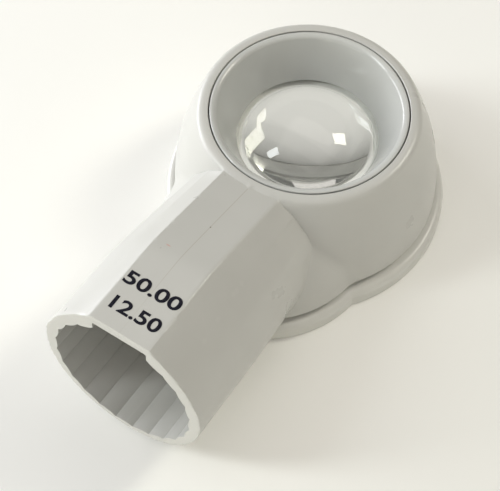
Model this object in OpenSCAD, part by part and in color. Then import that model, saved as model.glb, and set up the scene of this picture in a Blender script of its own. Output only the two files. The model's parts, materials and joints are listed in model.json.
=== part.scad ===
// Slip-on head of an illuminated stand magnifier, in millimetres.
// The origin is where the lens axis meets the page. +Z is up, and the handle leaves towards -Y.

/* [Base] */
// Radius of the base ring under the dome, at the page
base_r = 30.5; // [30:0.1:32]
// Radius of the smaller lobe of the base, under the lamp bay
bay_base_r = 24.0; // [23.6:0.1:24.6]
// Height of the base ring
base_h = 4.2; // [3.6:0.1:4.4]
// Radius that rounds the top edge of the base ring
base_round = 1.6; // [0.8:0.1:2]
// Height of the dark groove between the base ring and the housing
groove_h = 1.0; // [0.8:0.1:1.4]
// Radius of the round viewing aperture in the base
aperture_r = 24.4; // [22:0.1:24.6]

/* [Dome] */
// Radius of the dome at its foot
dome_r = 28.4; // [28:0.1:28.8]
// Height of the rim above the page
dome_top = 30.1; // [29.8:0.1:30.6]
// Radius of the curve of the dome's side
barrel_r = 56; // [52:1:64]
// Radius that rounds the rim
rim_round = 2.4; // [2:0.1:2.6]
// Wall thickness of the housing
wall = 2.2; // [1.8:0.1:2.4]

/* [Lamp bay] */
// Distance from the lens axis to the middle of the lamp bay
bay_offset = 15.5; // [15:0.1:16]
// Radius of the lamp bay at its foot
bay_r = 22.4; // [22:0.1:22.6]
// Radius of the curve of the lamp bay's side
bay_curve_r = 26.4; // [25:0.1:28]
// Radius of the light window in the dome's wall
window_r = 9.0; // [7:0.1:9.2]

/* [Eyepiece] */
// Middle radius of the fine groove round the funnel
rim_groove_r = 20.5; // [20.3:0.1:20.6]
// Width of that groove
rim_groove_w = 0.4; // [0.3:0.1:0.5]
// Clear radius of the lens at the foot of the funnel
clear_r = 14.8; // [14.4:0.1:15]
// Height of the foot of the funnel above the page
funnel_foot_z = 20.5; // [20.3:0.1:20.7]
// Radius that rounds the funnel's lip
lip_round = 2.2; // [1.6:0.1:2.4]

/* [Lenses] */
// Outer radius of both lenses
lens_r = 15.9; // [15.8:0.1:15.9]
// Rise of the upper lens above its edge
upper_rise = 6.3; // [5:0.1:7]
// Rise of the lower lens above its edge
lower_rise = 2.6; // [2:0.1:2.8]
// Thickness of the upper lens at its edge
upper_edge = 2.2; // [2:0.1:2.4]
// Thickness of the lower lens at its edge
lower_edge = 1.8; // [1.6:0.1:2]
// Height of the ring between the lenses
spacer_h = 3.3; // [3.1:0.1:3.5]

/* [Socket] */
// Distance from the lens axis to the middle of the socket's mouth
mouth_y = 66.2; // [65:0.1:68]
// Height of the middle of the mouth above the page
mouth_z = 20.1; // [20:0.1:20.6]
// Angle by which the socket rises away from the base
tilt = 5.5; // [5:0.1:6]
// Outer radius of the socket
tube_r = 17.7; // [17.5:0.1:17.9]
// Radius of the plain bore that guides the handle
bore_r = 15.1; // [14.8:0.05:15.2]
// Distance of the bore's axis below the middle of the tube
bore_drop = 0.9; // [0.7:0.1:1]
// Depth of the socket
socket_depth = 23; // [22:0.5:23]
// Length of the plain bore behind the flutes
land_length = 8; // [6:0.5:9]
// Number of flutes
flute_count = 24; // [20:1:28]
// Depth of each flute
flute_depth = 0.5; // [0.3:0.05:0.6]
// Half width of the keyway under the flat
key_half_w = 5.9; // [5:0.1:6]
// Height of the keyway's ceiling above the middle of the tube
key_top = 15.3; // [15:0.1:15.4]

/* [Neck] */
// Half width of the flat along the top of the neck
flat_half_w = 6.4; // [6:0.1:6.6]
// Height of the flat above the middle of the tube, at the mouth
flat_mouth_u = 17.0; // [16.8:0.1:17.2]
// Height of the flat above the middle of the tube, at the bend
flat_bend_u = 17.8; // [17.6:0.1:18]
// Distance along the tube from the mouth to the bend
bend_depth = 19.2; // [18:0.1:20]
// Height of the flat above the page where it meets the rim
flat_head_z = 28.9; // [28.6:0.1:29.2]

/* [Light] */
// Radius of the diffuser
diffuser_r = 8.4; // [7:0.1:8.5]
// Length of the reflector
reflector_length = 9.6; // [8:0.1:9.8]
// Radius of the hole round the lamp
lamp_hole_r = 5.2; // [4:0.1:6]

/* [Hidden] */
$fn = 120;

gap = 0.1;
eps = 0.02;
arc_steps = 24;

// Levels and radii of the housing
foot_z = base_h + groove_h;
foot_round = 1.0;
spigot_h = 2.0;
step_in = 1.4;
ground_clearance = 0.4;
barrel_c = [dome_r - barrel_r, foot_z];
rim_c = [
    barrel_c[0] + sqrt(pow(barrel_r - rim_round, 2) - pow(dome_top - rim_round - foot_z, 2)),
    dome_top - rim_round
];
rim_angle = atan2(rim_c[1] - barrel_c[1], rim_c[0] - barrel_c[0]);
bay_curve_z = foot_z - 3;
bay_c = [bay_r - sqrt(pow(bay_curve_r, 2) - 9), bay_curve_z];
bay_top = 26;

// Lens stack, from the bottom up
cell_ledge = 1.2;
cell_wall_r = lens_r + gap;
cell_r = cell_wall_r + 2.8;
sleeve_in_r = cell_r + gap;
sleeve_r = sleeve_in_r + 2;
upper_z = funnel_foot_z - upper_edge;
spacer_z = upper_z - spacer_h;
lower_z = spacer_z - lower_edge;
cell_z = lower_z - cell_ledge;
ring_h = 1.2;
sleeve_z = cell_z - ring_h - 0.3;
upper_dome_r = clear_r - 1.2;
lower_dome_r = lens_r - 1.7;

// Rim seat, funnel and its lip
seat_r = rim_groove_r + rim_groove_w / 2;
lip_r = rim_groove_r - rim_groove_w / 2;
seat_z = 26.9;
lip_flat = 0.35;
funnel_wall = 1.4;
funnel_foot_h = 1.2;
lip_edge_r = lip_r - lip_flat;
cone_angle = 69;
lip_c = [lip_edge_r, dome_top - lip_round];

// Depths along the socket
flute_run = socket_depth - land_length;
collar_h = 1.8;
collar_r = 13.5;
bay_bore_r = 13.0;
bay_bore_z = 7.6;
reflector_z = socket_depth + collar_h;
diffuser_h = 1.4;
bezel_r = diffuser_r + 1.1;

function arc(c, r, a0, a1, n = arc_steps) =
    [for (i = [0:n]) let (a = a0 + (a1 - a0) * i / n) [c[0] + r * cos(a), c[1] + r * sin(a)]];

// Closed outline of a tube that has flats on its upper half. The corners run down its right side.
function faceted_ring(corners, r, middle = 0) =
    let (
        n = len(corners),
        a0 = asin((corners[n - 1][1] - middle) / r),
        sweep = 180 + 2 * a0
    )
    concat(
        corners,
        [for (i = [1:2 * arc_steps - 1])
            let (a = a0 - sweep * i / (2 * arc_steps)) [r * cos(a), middle + r * sin(a)]],
        [for (i = [n - 1:-1:0]) [-corners[i][0], corners[i][1]]]
    );

// Outline of the fluted bore: shallow scallops between narrow ridges.
function fluted_ring(r, depth, count, steps = 6) =
    [for (i = [0:count * steps - 1])
        let (a = 360 * i / (count * steps), t = 2 * (i % steps) / steps - 1)
            [(r + depth * (1 - t * t)) * cos(a), (r + depth * (1 - t * t)) * sin(a)]];

// Outlines of the neck at the mouth, at the bend and at the rim
mouth_outline = faceted_ring(
    [[flat_half_w + 0.1, flat_mouth_u], [11.1, 13.5], [13.0, 11.85], [14.7, 9.8], [16.2, 7.1]], tube_r);
bend_outline = faceted_ring(
    [[flat_half_w, flat_bend_u], [10.9, 13.0], [13.2, 10.9], [15.4, 8.7], [16.2, 7.1]], tube_r);
head_outline = faceted_ring(
    [[flat_half_w, flat_head_z], [9.4, 26.3], [12.8, 22.7], [14.9, 19.2], [15.7, 15.0]], 15.95, 12.2);
head_y = 20.5;

// Points of an outline that stands square to the socket at a depth from its mouth
function across_socket(outline, depth) =
    [for (p = outline) [
        p[0],
        p[1] * sin(tilt) + depth * cos(tilt) - mouth_y,
        p[1] * cos(tilt) - depth * sin(tilt) + mouth_z
    ]];

// Joins closed outlines with equal numbers of points, in order, into one solid.
module skin(outlines) {
    n = len(outlines[0]);
    last = (len(outlines) - 1) * n;
    polyhedron(
        points = [for (outline = outlines, p = outline) p],
        faces = concat(
            [[for (i = [0:n - 1]) i], [for (i = [n - 1:-1:0]) last + i]],
            [for (k = [0:n:last - n], i = [0:n - 1])
                let (j = (i + 1) % n, right = i < n / 2)
                right ? [k + i, k + n + i, k + n + j] : [k + i, k + n + i, k + j]],
            [for (k = [0:n:last - n], i = [0:n - 1])
                let (j = (i + 1) % n, right = i < n / 2)
                right ? [k + i, k + n + j, k + j] : [k + n + i, k + n + j, k + j]]
        )
    );
}

// Places its children in the socket's frame: +Z out of the mouth, +Y towards the flat.
module in_socket() {
    translate([0, -mouth_y, mouth_z]) rotate([90 - tilt, 0, 0]) children();
}

// Places its children at a depth along the bore's own axis, with +Z towards the dome.
module along_bore(depth) {
    in_socket() translate([0, -bore_drop, -depth]) mirror([0, 0, 1]) children();
}

module at_bay() {
    translate([0, -bay_offset, 0]) children();
}

module ring(r_out, r_in, h) {
    difference() {
        cylinder(r = r_out, h = h);
        translate([0, 0, -1]) cylinder(r = r_in, h = h + 2);
    }
}

// Profile of a body of revolution whose side is an arc, with a rounded foot.
module foot_profile(r, side, top) {
    polygon(concat(
        [[0, foot_z]],
        arc([r - foot_round, foot_z + foot_round], foot_round, -90, 0, 8),
        side,
        [[0, top]]
    ));
}

module dome_outer() {
    side = concat(arc(barrel_c, barrel_r, 2, rim_angle), arc(rim_c, rim_round, rim_angle + 4, 90, 12));
    rotate_extrude() foot_profile(dome_r, side, dome_top);
}

module bay_outer() {
    start = asin((foot_z + foot_round - bay_curve_z) / bay_curve_r);
    end = asin((bay_top - bay_curve_z) / bay_curve_r);
    at_bay() rotate_extrude() foot_profile(bay_r, arc(bay_c, bay_curve_r, start, end), bay_top);
}

module neck_outer() {
    difference() {
        skin([
            across_socket(mouth_outline, 0),
            across_socket(bend_outline, bend_depth),
            [for (p = head_outline) [p[0], -head_y, p[1]]]
        ]);
        // clear of the page, and of the base ring that passes under the neck
        translate([-50, -100, -50]) cube([100, 100, 50 + ground_clearance]);
        translate([0, 0, -50]) linear_extrude(50 + foot_z) union() {
            circle(r = base_r + ground_clearance);
            translate([0, -bay_offset]) circle(r = bay_base_r + ground_clearance);
        }
    }
}

// Inside of the dome, round the sleeve that carries the lens cell.
module viewing_chamber() {
    in_r = barrel_r - wall;
    ceiling = seat_z - 3.4;
    sleeve_top_angle = asin((ceiling - foot_z) / in_r);
    rotate_extrude() polygon(concat(
        [[0, -1], [dome_r - wall, -1]],
        arc(barrel_c, in_r, 0, sleeve_top_angle),
        [[sleeve_r, ceiling], [sleeve_r, sleeve_z], [sleeve_in_r, sleeve_z], [sleeve_in_r, seat_z],
        [seat_r, seat_z], [seat_r, dome_top + 5], [0, dome_top + 5]]
    ));
}

// Inside of the lamp bay and of the neck, up to the dome's own wall.
module lamp_bay() {
    inner = bay_curve_r - wall;
    start = asin((foot_z - bay_curve_z) / inner);
    end = asin((bay_top - 4 - bay_curve_z) / inner);
    difference() {
        union() {
            at_bay() rotate_extrude() polygon(concat(
                [[0, -1], [bay_r - wall, -1]], arc(bay_c, inner, start, end), [[0, bay_top - 4]]));
            intersection() {
                along_bore(reflector_z - eps) cylinder(r = bay_bore_r, h = 20);
                translate([-50, -50, bay_bore_z]) cube([100, 50, 50]);
            }
        }
        dome_outer();
    }
}

// The fluted mouth, the plain bore, the keyway and the seat of the lamp collar.
module socket_bore() {
    in_socket() translate([0, -bore_drop, -flute_run]) linear_extrude(flute_run + 5)
        polygon(fluted_ring(bore_r + 0.05, flute_depth, flute_count));
    along_bore(flute_run - eps) cylinder(r = bore_r, h = land_length + eps);
    along_bore(socket_depth - eps) cylinder(r = collar_r + gap, h = collar_h + eps);
    in_socket() translate([-key_half_w, 0, -socket_depth])
        cube([2 * key_half_w, key_top, socket_depth + 5]);
}

// Dome, lamp bay, neck and socket: one moulding
module head_housing() {
    color("whitesmoke") difference() {
        union() {
            dome_outer();
            bay_outer();
            neck_outer();
        }
        viewing_chamber();
        lamp_bay();
        socket_bore();
        along_bore(reflector_z + 8) cylinder(r = window_r, h = 10);
    }
}

// Solid of one lobe of the base: ring, step under the housing and spigot inside it
module base_lobe(r_base, r_body) {
    r_in = r_body - wall - gap;
    rotate_extrude() polygon(concat(
        [[0, 0], [r_base, 0]],
        arc([r_base - base_round, base_h - base_round], base_round, 0, 90, 10),
        [[r_body - step_in, base_h], [r_body - step_in, foot_z], [r_in, foot_z],
        [r_in, foot_z + spigot_h], [0, foot_z + spigot_h]]
    ));
}

// The two-lobed ring that stands on the page
module base_skirt() {
    floor_h = 1.6;
    spigot_wall = 1.5;
    color("gainsboro") difference() {
        union() {
            base_lobe(base_r, dome_r);
            at_bay() base_lobe(bay_base_r, bay_r);
        }
        translate([0, 0, -1]) cylinder(r = aperture_r, h = 20);
        // the floor of the lamp bay stays, outside the ring that the dome stands on
        difference() {
            at_bay() translate([0, 0, floor_h]) cylinder(r = bay_r - wall - gap - spigot_wall, h = 20);
            translate([0, 0, -1]) cylinder(r = dome_r - step_in, h = 1 + foot_z);
        }
        // the dome's own wall stands where the bay's spigot would cross it
        translate([0, 0, foot_z]) ring(dome_r + 3 * gap, dome_r - wall - gap, 10);
    }
}

// The conical cup in the rim, with its lip and the foot that holds the lens down
module eyepiece_funnel() {
    run = [cos(cone_angle), sin(cone_angle)];
    lip_in = [lip_c[0] - lip_round * sin(cone_angle), lip_c[1] + lip_round * cos(cone_angle)];
    out = [funnel_wall * sin(cone_angle), -funnel_wall * cos(cone_angle)];
    foot_top = funnel_foot_z + funnel_foot_h;
    back_r = clear_r + out[0] + (foot_top - funnel_foot_z - out[1]) * run[0] / run[1];
    color("whitesmoke") rotate_extrude() polygon(concat(
        [[clear_r, funnel_foot_z], [cell_r, funnel_foot_z], [cell_r, foot_top], [back_r, foot_top]],
        [[lip_in[0] + out[0], seat_z], [lip_r, seat_z], [lip_r, dome_top - 0.3], [lip_r - 0.2, dome_top]],
        arc(lip_c, lip_round, 90, 180 - (90 - cone_angle), 12)
    ));
}

// A lens with a flat edge flange and a domed upper face
module lens(edge_h, dome_base_r, rise) {
    curve_r = (dome_base_r * dome_base_r + rise * rise) / (2 * rise);
    half = asin(dome_base_r / curve_r);
    rotate_extrude() polygon(concat(
        [[0, 0], [lens_r, 0], [lens_r, edge_h]],
        arc([0, edge_h + rise - curve_r], curve_r, 90 - half, 90, 24)
    ));
}

module upper_lens() {
    color("azure", 0.5) translate([0, 0, upper_z]) lens(upper_edge, upper_dome_r, upper_rise);
}

module lens_spacer() {
    color("whitesmoke") translate([0, 0, spacer_z]) ring(lens_r, lower_dome_r + 0.1, spacer_h);
}

module lower_lens() {
    color("azure", 0.5) translate([0, 0, lower_z]) lens(lower_edge, lower_dome_r, lower_rise);
}

// The barrel that the lenses drop into
module lens_cell() {
    color("white") difference() {
        translate([0, 0, cell_z]) cylinder(r = cell_r, h = funnel_foot_z - cell_z);
        translate([0, 0, lower_z]) cylinder(r = cell_wall_r, h = 20);
        translate([0, 0, cell_z - 1]) cylinder(r = lower_dome_r, h = 20);
    }
}

// The ring that holds the cell up in the housing's sleeve
module cell_retaining_ring() {
    color("white") translate([0, 0, cell_z - ring_h]) ring(cell_r + gap, lower_dome_r + 0.4, ring_h);
}

// The collar that the lamp's nose passes through, at the end of the socket
module lamp_collar() {
    color("dimgray") along_bore(socket_depth) ring(collar_r, lamp_hole_r + 1.2, collar_h);
}

// The bright cup round the lamp, with a flange at each end
module lamp_reflector() {
    skin = 0.8;
    steps = 12;
    front_r = diffuser_r - 0.4;
    rear_r = 9;
    inner = [for (i = [0:steps]) let (t = i / steps)
        [lamp_hole_r + (front_r - lamp_hole_r) * sqrt(t), reflector_length * t]];
    color("silver") along_bore(reflector_z) rotate_extrude() polygon(concat(
        inner,
        [[bezel_r, reflector_length], [bezel_r, reflector_length - skin]],
        [for (i = [steps - 1:-1:2]) [inner[i][0] + skin, inner[i][1] - skin / 2]],
        [[rear_r, skin], [rear_r, 0]]
    ));
}

// The frosted window in front of the lamp
module light_diffuser() {
    color("ivory", 0.7) along_bore(reflector_z + reflector_length) cylinder(r = diffuser_r, h = diffuser_h);
}

// The bezel that clips the diffuser to the reflector
module diffuser_bezel() {
    lip = 0.6;
    color("white") along_bore(reflector_z + reflector_length) difference() {
        cylinder(r = bezel_r, h = diffuser_h + lip);
        translate([0, 0, -1]) cylinder(r = diffuser_r - lip, h = 10);
        translate([0, 0, -1]) cylinder(r = diffuser_r + gap / 2, h = diffuser_h + 1);
    }
}

head_housing();
base_skirt();
eyepiece_funnel();
upper_lens();
lens_spacer();
lower_lens();
lens_cell();
cell_retaining_ring();
lamp_collar();
lamp_reflector();
light_diffuser();
diffuser_bezel();
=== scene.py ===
"""Looks of the slip-on head of a lit stand magnifier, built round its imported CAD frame.

Shapes are worked out in millimetres in the CAD's own frame: the origin is where the lens axis meets the page,
+Z is up, and the handle leaves towards -Y. Meshes are turned into metres as they are made.
"""

import json
import math

import bmesh
import bpy
import numpy as np
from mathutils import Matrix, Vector


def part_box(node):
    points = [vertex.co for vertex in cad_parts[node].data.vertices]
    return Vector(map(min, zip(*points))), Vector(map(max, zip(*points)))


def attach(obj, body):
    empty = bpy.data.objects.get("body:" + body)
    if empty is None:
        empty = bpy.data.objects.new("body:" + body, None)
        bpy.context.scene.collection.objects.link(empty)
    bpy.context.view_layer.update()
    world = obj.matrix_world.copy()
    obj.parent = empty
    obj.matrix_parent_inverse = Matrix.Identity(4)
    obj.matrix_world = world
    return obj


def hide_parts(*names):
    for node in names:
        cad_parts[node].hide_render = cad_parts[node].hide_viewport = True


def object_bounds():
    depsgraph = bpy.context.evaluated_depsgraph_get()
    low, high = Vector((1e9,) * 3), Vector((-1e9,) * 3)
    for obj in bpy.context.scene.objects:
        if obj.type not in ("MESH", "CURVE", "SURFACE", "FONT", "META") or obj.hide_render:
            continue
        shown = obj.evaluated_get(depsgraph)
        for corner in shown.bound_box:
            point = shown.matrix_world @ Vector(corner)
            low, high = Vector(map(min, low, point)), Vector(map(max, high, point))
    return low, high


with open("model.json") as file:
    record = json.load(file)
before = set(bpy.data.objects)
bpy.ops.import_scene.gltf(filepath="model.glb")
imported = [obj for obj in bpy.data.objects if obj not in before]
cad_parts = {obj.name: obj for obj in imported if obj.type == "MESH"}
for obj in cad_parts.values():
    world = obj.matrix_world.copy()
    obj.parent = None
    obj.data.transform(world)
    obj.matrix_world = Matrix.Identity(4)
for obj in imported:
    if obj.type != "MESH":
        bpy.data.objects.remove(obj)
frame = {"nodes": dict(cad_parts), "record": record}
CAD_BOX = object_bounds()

MM = 0.001
GAP = 0.1  # running clearance between fitted pieces


def node_box(name):
    """Lowest and highest corner of a CAD node, in millimetres."""
    lo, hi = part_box(name)
    return np.array(lo) / MM, np.array(hi) / MM


# ---------------------------------------------------------------------------------------------------------
# Sizes: what the frame gives, then the few that only the looks need
# ---------------------------------------------------------------------------------------------------------

SKIRT_LO, SKIRT_HI = node_box("base_skirt")
FUNNEL_LO, FUNNEL_HI = node_box("eyepiece_funnel")
UPPER_LO, UPPER_HI = node_box("upper_lens")
LOWER_LO, LOWER_HI = node_box("lower_lens")
SPACER_LO, SPACER_HI = node_box("lens_spacer")
CELL_LO, CELL_HI = node_box("lens_cell")
RING_LO, RING_HI = node_box("cell_retaining_ring")
SOCKET = next(m for m in frame["record"]["mounts"] if m["name"] == "handle_socket")

BASE_R = SKIRT_HI[0]
BAY_BASE_R = 24.0
BAY_Y = SKIRT_LO[1] + BAY_BASE_R
BASE_H = 4.2
BASE_ROUND = 1.6
FOOT_Z = BASE_H + 1.0
APERTURE_R = 24.4

DOME_TOP = FUNNEL_HI[2]
DOME_R = BASE_R - 2.1
BARREL_R = 56.0
RIM_ROUND = 1.8
FOOT_ROUND = 1.0
WALL = 2.2
BARREL_C = (DOME_R - BARREL_R, FOOT_Z)
RIM_C = (
    BARREL_C[0] + math.sqrt((BARREL_R - RIM_ROUND) ** 2 - (DOME_TOP - RIM_ROUND - FOOT_Z) ** 2),
    DOME_TOP - RIM_ROUND,
)
BAY_R = 22.4
BAY_CURVE_R = 26.4
BAY_C = (BAY_R - math.sqrt(BAY_CURVE_R**2 - 9), FOOT_Z - 3)
BAY_TOP = 26.0

LIP_R = FUNNEL_HI[0]
SEAT_R = LIP_R + 0.26
SEAT_Z = 26.9
CLEAR_R = 14.8
FUNNEL_Z = FUNNEL_LO[2]
LIP_ROUND = 1.3
CUP_WALL = 1.4
LENS_R = UPPER_HI[0]
CELL_R = CELL_HI[0]
SLEEVE_IN_R = CELL_R + GAP
SLEEVE_R = SLEEVE_IN_R + 2
SLEEVE_Z = RING_LO[2] - 0.3

SOCKET_AXIS = np.array(SOCKET["axis"])
TILT = math.atan2(SOCKET_AXIS[2], -SOCKET_AXIS[1])
BORE_R = SOCKET["dims"]["r_mm"]
MOUTH_Y = 66.2
MOUTH_Z = 20.1
BORE_DROP = 0.9
SOCKET_DEPTH = 23.0
LAND_LENGTH = 8.0
FLUTES = 24
FLUTE_DEPTH = 0.42
FLUTE_PEAK = 2.4  # how narrow the crease between two ridges is
KEY_HALF_W = 5.9
KEY_TOP = 15.3
BEND_DEPTH = 19.2
HEAD_Y = -20.5
GROUND_CLEARANCE = 0.4

COLLAR_H = 1.8
REFLECTOR_DEPTH = SOCKET_DEPTH + COLLAR_H
REFLECTOR_LENGTH = 9.6
LAMP_R = 5.2
DIFFUSER_R = 8.4
DIFFUSER_H = 1.4
BEZEL_R = DIFFUSER_R + 1.1

HOUSING_STEP = 0.46  # cell size of the housing's mesh
FIGURE_H = 2.95
INK_H = 0.06


# ---------------------------------------------------------------------------------------------------------
# Outlines
# ---------------------------------------------------------------------------------------------------------


def arc(centre, radius, start, end, steps=24):
    """Points along a circular arc between two angles in degrees."""
    return [
        (centre[0] + radius * math.cos(a), centre[1] + radius * math.sin(a))
        for a in np.radians(np.linspace(start, end, steps + 1))
    ]


def eased(outline, radius, steps=3):
    """A closed outline with its corners eased by a small radius. Corners that hardly turn are left alone."""
    out = []
    points = [np.array(p, float) for p in outline]
    for i, corner in enumerate(points):
        back, ahead = points[i - 1] - corner, points[(i + 1) % len(points)] - corner
        long_back, long_ahead = np.linalg.norm(back), np.linalg.norm(ahead)
        turn = math.pi - math.acos(np.clip(back @ ahead / (long_back * long_ahead), -1, 1))
        if turn < math.radians(12) or corner[0] < GAP:
            out.append(tuple(corner))
            continue
        reach = min(radius * math.tan(turn / 2), 0.45 * long_back, 0.45 * long_ahead)
        start, end = corner + back / long_back * reach, corner + ahead / long_ahead * reach
        for t in np.linspace(0, 1, steps + 1):
            out.append(tuple((1 - t) ** 2 * start + 2 * t * (1 - t) * corner + t * t * end))
    return out


def fluted_outline(radius, depth, count, steps=10):
    """The bore's outline: soft ridges with a narrow crease between each pair."""
    out = []
    for i in range(count * steps):
        a = math.tau * i / (count * steps)
        across = abs(2 * (i % steps) / steps - 1)
        r = radius + depth * (1 - across) ** FLUTE_PEAK
        out.append((r * math.cos(a), r * math.sin(a)))
    return out


# ---------------------------------------------------------------------------------------------------------
# Mesh making
# ---------------------------------------------------------------------------------------------------------

ORIGIN = np.zeros(3)
UP = np.array([0.0, 0.0, 1.0])


def new_object(name, points, faces):
    """A mesh object from points in millimetres."""
    mesh = bpy.data.meshes.new(name)
    mesh.from_pydata((np.asarray(points) * MM).tolist(), [], faces)
    obj = bpy.data.objects.new(name, mesh)
    bpy.context.scene.collection.objects.link(obj)
    return obj


def face_outward(obj):
    bm = bmesh.new()
    bm.from_mesh(obj.data)
    bmesh.ops.recalc_face_normals(bm, faces=bm.faces)
    bm.to_mesh(obj.data)
    bm.free()
    return obj


def stand(points, origin, axis):
    """Points of a piece drawn about +Z, moved so that its axis starts at origin and runs along axis."""
    axis = np.asarray(axis, float)
    side = np.array([1.0, 0.0, 0.0])
    across = np.cross(axis, side)
    return np.asarray(points) @ np.array([side, across, axis]) + np.asarray(origin)


def lathe(name, profile, origin=ORIGIN, axis=UP, segments=192):
    """Turns a profile of (radius, height) points: a closed loop, or a line from the axis back to the axis."""
    rows, points = [], []
    turn = np.linspace(0, math.tau, segments, endpoint=False)
    for radius, height in profile:
        if radius < 1e-6:
            rows.append([len(points)] * segments)
            points.append((0, 0, height))
        else:
            rows.append(list(range(len(points), len(points) + segments)))
            points += [(radius * math.cos(a), radius * math.sin(a), height) for a in turn]
    faces = []
    for low, high in zip(rows, rows[1:] + rows[:1]):
        for i in range(segments):
            j = (i + 1) % segments
            face = list(dict.fromkeys((low[i], low[j], high[j], high[i])))
            if len(face) > 2:
                faces.append(face)
    return face_outward(new_object(name, stand(points, origin, axis), faces))


def prism(name, outline, start, end, origin=ORIGIN, axis=UP):
    """A closed outline drawn out along +Z from start to end."""
    n = len(outline)
    points = [(x, y, z) for z in (start, end) for x, y in outline]
    faces = [[i, (i + 1) % n, n + (i + 1) % n, n + i] for i in range(n)]
    faces += [list(range(n))[::-1], list(range(n, 2 * n))]
    return face_outward(new_object(name, stand(points, origin, axis), faces))


def settle(obj):
    """Applies an object's modifiers to its mesh."""
    graph = bpy.context.evaluated_depsgraph_get()
    mesh = bpy.data.meshes.new_from_object(obj.evaluated_get(graph))
    obj.modifiers.clear()
    obj.data = mesh
    mesh.name = obj.name
    return obj


def combine(obj, tools, operation):
    """Cuts the tools from obj, joins them to it, or keeps what is common. The tools are used up."""
    for tool in tools:
        change = obj.modifiers.new("combine", "BOOLEAN")
        change.operation = operation
        change.solver = "MANIFOLD"
        change.object = tool
        settle(obj)
        bpy.data.objects.remove(tool)
    return obj


def cut(obj, *tools):
    return combine(obj, tools, "DIFFERENCE")


def join(obj, *tools):
    return combine(obj, tools, "UNION")


def shade(obj, crease=26.0):
    """Smooth shading that keeps edges sharper than crease degrees."""
    obj.data.shade_smooth()
    obj.data.set_sharp_from_angle(angle=math.radians(crease))
    keep = obj.modifiers.new("even_normals", "WEIGHTED_NORMAL")
    keep.keep_sharp = True
    keep.weight = 90
    return obj


# ---------------------------------------------------------------------------------------------------------
# Distance fields, for mouldings whose surfaces blend into each other
# ---------------------------------------------------------------------------------------------------------


def soft_max(a, b, blend):
    """The larger of two fields, eased over a width where they are nearly equal."""
    near = np.maximum(blend - np.abs(a - b), 0) / blend
    return np.maximum(a, b) + near * near * blend / 4


def soft_min(a, b, blend):
    return -soft_max(-a, -b, blend)


def round_corner(a, b, radius):
    """What is inside both fields, with a true radius where their surfaces meet."""
    a, b = a + radius, b + radius
    return np.minimum(np.maximum(a, b), 0) + np.hypot(np.maximum(a, 0), np.maximum(b, 0)) - radius


def slope(field, points, reach=0.02):
    """Unit direction in which the field grows fastest at each point."""
    out = np.empty_like(points)
    for axis in range(3):
        step = np.zeros(3)
        step[axis] = reach
        out[:, axis] = field(points + step) - field(points - step)
    return out / np.linalg.norm(out, axis=1, keepdims=True)


def skin_of(name, field, lo, hi, step):
    """Meshes the surface where a field is zero.

    Each cell's point is where its surface planes meet, so creases stay sharp.
    """
    lo = np.asarray(lo, float)
    axes = [np.arange(a, b + step, step) for a, b in zip(lo, hi)]
    shape = tuple(len(a) for a in axes)
    grid = np.stack(np.meshgrid(*axes, indexing="ij"), axis=-1).reshape(-1, 3)
    value = field(grid).reshape(shape)
    inside = value < 0

    crossings, cells, loops = [], [], []
    for axis in range(3):
        first = tuple(slice(0, -1) if k == axis else slice(None) for k in range(3))
        second = tuple(slice(1, None) if k == axis else slice(None) for k in range(3))
        at = np.argwhere(inside[first] != inside[second])
        unit = np.eye(3, dtype=int)[axis]
        low, high = value[tuple(at.T)], value[tuple((at + unit).T)]
        crossings.append(lo + (at + unit * (low / (low - high))[:, None]) * step)
        b, c = np.eye(3, dtype=int)[(axis + 1) % 3], np.eye(3, dtype=int)[(axis + 2) % 3]
        around = np.stack([at - b - c, at - c, at, at - b], axis=1)
        ids = np.ravel_multi_index(tuple(np.moveaxis(around, -1, 0)), shape)
        cells.append(ids)
        loops.append(np.where((low < 0)[:, None], ids, ids[:, ::-1]))
    point = np.concatenate(crossings)
    normal = slope(field, point)

    cells = np.concatenate(cells)
    used, which = np.unique(cells, return_inverse=True)
    which = which.reshape(cells.shape).ravel()

    def spread(v):
        return np.bincount(which, np.repeat(v, 4), len(used))

    count = spread(np.ones(len(point)))
    mean = np.stack([spread(point[:, k]) for k in range(3)], axis=1) / count[:, None]
    reach = (normal * point).sum(axis=1)
    planes = np.empty((len(used), 3, 3))
    target = np.empty((len(used), 3))
    pull = 0.06
    for i in range(3):
        target[:, i] = spread(normal[:, i] * reach) + pull * mean[:, i]
        for j in range(3):
            planes[:, i, j] = spread(normal[:, i] * normal[:, j]) + pull * (i == j)
    best = np.linalg.solve(planes, target[:, :, None])[:, :, 0]
    corner = lo + np.stack(np.unravel_index(used, shape), axis=1) * step
    best = np.clip(best, corner, corner + step)

    quads = np.searchsorted(used, np.concatenate(loops))
    return new_object(name, best, quads.tolist())


# ---------------------------------------------------------------------------------------------------------
# The housing's fields
# ---------------------------------------------------------------------------------------------------------

MOUTH = np.array([0.0, -MOUTH_Y, MOUTH_Z])
SOCKET_UP = np.array([0.0, math.sin(TILT), math.cos(TILT)])
INWARD = -SOCKET_AXIS
BORE_START = MOUTH - SOCKET_UP * BORE_DROP


def in_socket(x, up, depth):
    """A point given across the socket, up from the middle of the tube, and in from its mouth."""
    return MOUTH + np.array([x, 0, 0]) + SOCKET_UP * up + INWARD * depth


def rail(at_mouth, at_bend, at_head):
    """A line along the neck: (x, up) at the mouth and the bend, and (x, z) where it meets the rim."""
    ends = [in_socket(*at_mouth, 0), in_socket(*at_bend, BEND_DEPTH)]
    return np.array([*ends, (at_head[0], HEAD_Y, at_head[1])])


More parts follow.
